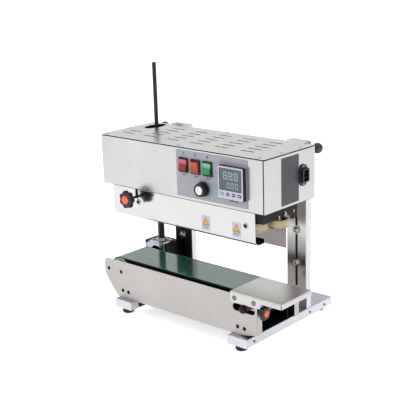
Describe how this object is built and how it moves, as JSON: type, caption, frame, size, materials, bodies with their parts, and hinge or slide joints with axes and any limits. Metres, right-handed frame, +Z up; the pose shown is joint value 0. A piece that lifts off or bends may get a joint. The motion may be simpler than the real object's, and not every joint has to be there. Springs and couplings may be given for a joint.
{
  "type": "continuous band sealer",
  "caption": "Vertical continuous band sealer: a bag conveyor under a raised stainless head with heated sealing bands, controls and height posts.",
  "frame": {"origin": "middle of the footprint on the surface the feet stand on", "axes": "+X along the machine towards the feed table, +Y away from the control panel, +Z up"},
  "size_m": [0.558, 0.327, 0.587],
  "materials": {
    "stainless": "satin brushed stainless sheet",
    "polished": "polished stainless sheet",
    "aluminium": "anodised aluminium section",
    "steel": "bright plated steel",
    "black_paint": "black powder coat",
    "black_plastic": "black moulded plastic",
    "rubber": "black rubber",
    "belt_green": "green PVC conveyor belt, glossy",
    "band_brown": "PTFE coated glass cloth, brown",
    "brass": "machined brass",
    "panel_grey": "grey printed overlay film",
    "red": "red translucent plastic",
    "orange": "orange translucent plastic",
    "green": "green translucent plastic",
    "button_grey": "dark grey rubber key",
    "button_green": "green rubber key",
    "orange_cap": "orange insert cap",
    "display": "smoked display window",
    "label": "printed label"
  },
  "bodies": {
    "base": {"base_beam_left": "aluminium", "base_beam_right": "aluminium", "foot_front_left": "rubber", "foot_rear_left": "rubber", "foot_front_right": "rubber", "foot_rear_right": "rubber", "post_tube_left": "aluminium", "post_tube_right": "aluminium", "post_bolt_left_lower": "steel", "post_bolt_left_upper": "steel", "post_bolt_right_lower": "steel", "post_bolt_right_upper": "steel", "conveyor_front_plate": "stainless", "conveyor_rear_plate": "stainless", "conveyor_inner_plate": "black_paint", "belt_bed": "stainless", "conveyor_belt": "belt_green", "table_plate": "stainless", "gearbox_bracket": "black_paint", "bearing_housing": "polished"},
    "head": {"head_casing": "stainless", "head_cover": "polished", "slide_plate_left": "polished", "slide_plate_right": "polished", "front_guard": "stainless", "rear_guard": "stainless", "end_bracket": "black_paint", "seal_band_front": "band_brown", "seal_band_rear": "band_brown", "heater_block": "brass", "cooling_block": "aluminium", "drive_motor": "black_paint", "control_panel": "panel_grey", "rocker_bezel_red": "black_plastic", "rocker_bezel_orange": "black_plastic", "rocker_bezel_green": "black_plastic", "temperature_controller": "black_plastic", "power_inlet": "black_plastic"},
    "drive_shaft": {"drive_shaft": "black_paint", "bevel_gear_shaft": "steel"},
    "drive_roller": {"drive_roller": "steel", "bevel_gear_roller": "steel"},
    "idler_roller": {"idler_roller": "steel"},
    "seal_wheel_front_left": {"seal_wheel_front_left": "band_brown"},
    "seal_wheel_front_right": {"seal_wheel_front_right": "band_brown"},
    "seal_wheel_rear_left": {"seal_wheel_rear_left": "band_brown"},
    "seal_wheel_rear_right": {"seal_wheel_rear_right": "band_brown"},
    "tension_knob_front": {"tension_knob_front": "black_plastic"},
    "tension_knob_rear": {"tension_knob_rear": "black_plastic"},
    "rocker_red": {"rocker_red": "red"},
    "rocker_orange": {"rocker_orange": "orange"},
    "rocker_green": {"rocker_green": "green"},
    "button_1": {"button_1": "button_green"},
    "button_2": {"button_2": "button_grey"},
    "button_3": {"button_3": "button_grey"},
    "button_4": {"button_4": "button_grey"},
    "speed_knob": {"speed_knob": "black_plastic"},
    "pressure_knob": {"pressure_knob": "black_plastic"},
    "ball_knob_left": {"ball_knob_left": "black_plastic"},
    "ball_knob_right": {"ball_knob_right": "black_plastic"}
  },
  "joints": [
    {"name": "head_lift", "type": "slide", "parent": "base", "child": "head", "axis": [0, 0, 1], "range_m": [-0.032, 0.05]},
    {"name": "roller_spin", "type": "hinge", "parent": "base", "child": "drive_roller", "pos_m": [-0.2305, -0.0825, 0.0982], "axis": [0, 1, 0], "continuous": true},
    {"name": "shaft_spin", "type": "hinge", "parent": "base", "child": "drive_shaft", "pos_m": [-0.2305, 0.0175, 0.2], "axis": [0, 0, 1], "continuous": true},
    {"name": "idler_spin", "type": "hinge", "parent": "base", "child": "idler_roller", "pos_m": [0.175, -0.0825, 0.0982], "axis": [0, 1, 0], "continuous": true},
    {"name": "seal_wheel_front_left_spin", "type": "hinge", "parent": "head", "child": "seal_wheel_front_left", "pos_m": [-0.239, -0.0985, 0.275], "axis": [0, 0, 1], "continuous": true},
    {"name": "seal_wheel_front_right_spin", "type": "hinge", "parent": "head", "child": "seal_wheel_front_right", "pos_m": [0.176, -0.0985, 0.275], "axis": [0, 0, 1], "continuous": true},
    {"name": "seal_wheel_rear_left_spin", "type": "hinge", "parent": "head", "child": "seal_wheel_rear_left", "pos_m": [-0.239, -0.0525, 0.275], "axis": [0, 0, 1], "continuous": true},
    {"name": "seal_wheel_rear_right_spin", "type": "hinge", "parent": "head", "child": "seal_wheel_rear_right", "pos_m": [0.196, -0.0525, 0.275], "axis": [0, 0, 1], "continuous": true},
    {"name": "tension_knob_front_turn", "type": "hinge", "parent": "base", "child": "tension_knob_front", "pos_m": [0.221, -0.14, 0.0982], "axis": [1, 0, 0], "range_deg": [-180, 180]},
    {"name": "tension_knob_rear_turn", "type": "hinge", "parent": "base", "child": "tension_knob_rear", "pos_m": [0.221, -0.005, 0.0982], "axis": [1, 0, 0], "range_deg": [-180, 180]},
    {"name": "rocker_red_rock", "type": "hinge", "parent": "head", "child": "rocker_red", "pos_m": [-0.0095, -0.125, 0.389], "axis": [1, 0, 0], "range_deg": [0, 16]},
    {"name": "rocker_orange_rock", "type": "hinge", "parent": "head", "child": "rocker_orange", "pos_m": [0.02575, -0.125, 0.389], "axis": [1, 0, 0], "range_deg": [-16, 0]},
    {"name": "rocker_green_rock", "type": "hinge", "parent": "head", "child": "rocker_green", "pos_m": [0.061, -0.125, 0.389], "axis": [1, 0, 0], "range_deg": [0, 16]},
    {"name": "button_1_press", "type": "slide", "parent": "head", "child": "button_1", "axis": [0, 1, 0], "range_m": [0, 0.0008], "stiffness_N_per_m": 600},
    {"name": "button_2_press", "type": "slide", "parent": "head", "child": "button_2", "axis": [0, 1, 0], "range_m": [0, 0.0008], "stiffness_N_per_m": 600},
    {"name": "button_3_press", "type": "slide", "parent": "head", "child": "button_3", "axis": [0, 1, 0], "range_m": [0, 0.0008], "stiffness_N_per_m": 600},
    {"name": "button_4_press", "type": "slide", "parent": "head", "child": "button_4", "axis": [0, 1, 0], "range_m": [0, 0.0008], "stiffness_N_per_m": 600},
    {"name": "speed_knob_turn", "type": "hinge", "parent": "head", "child": "speed_knob", "pos_m": [0.048, -0.1335, 0.342], "axis": [0, 1, 0], "range_deg": [0, 280]},
    {"name": "pressure_knob_turn", "type": "hinge", "parent": "head", "child": "pressure_knob", "pos_m": [-0.1665, -0.1535, 0.2905], "axis": [0, 1, 0], "range_deg": [-180, 180]},
    {"name": "ball_knob_left_turn", "type": "hinge", "parent": "head", "child": "ball_knob_left", "pos_m": [-0.266, 0.0825, 0.415], "axis": [0, 1, 0], "range_deg": [-180, 180]},
    {"name": "ball_knob_right_turn", "type": "hinge", "parent": "head", "child": "ball_knob_right", "pos_m": [0.2045, 0.0825, 0.415], "axis": [0, 1, 0], "range_deg": [-180, 180]}
  ],
  "couplings": [
    {"joint": "shaft_spin", "follows": "roller_spin", "ratio": 1},
    {"joint": "idler_spin", "follows": "roller_spin", "ratio": 1},
    {"joint": "seal_wheel_front_left_spin", "follows": "roller_spin", "ratio": -1.34},
    {"joint": "seal_wheel_front_right_spin", "follows": "roller_spin", "ratio": -1.34},
    {"joint": "seal_wheel_rear_left_spin", "follows": "roller_spin", "ratio": 1.34},
    {"joint": "seal_wheel_rear_right_spin", "follows": "roller_spin", "ratio": 1.34}
  ]
}
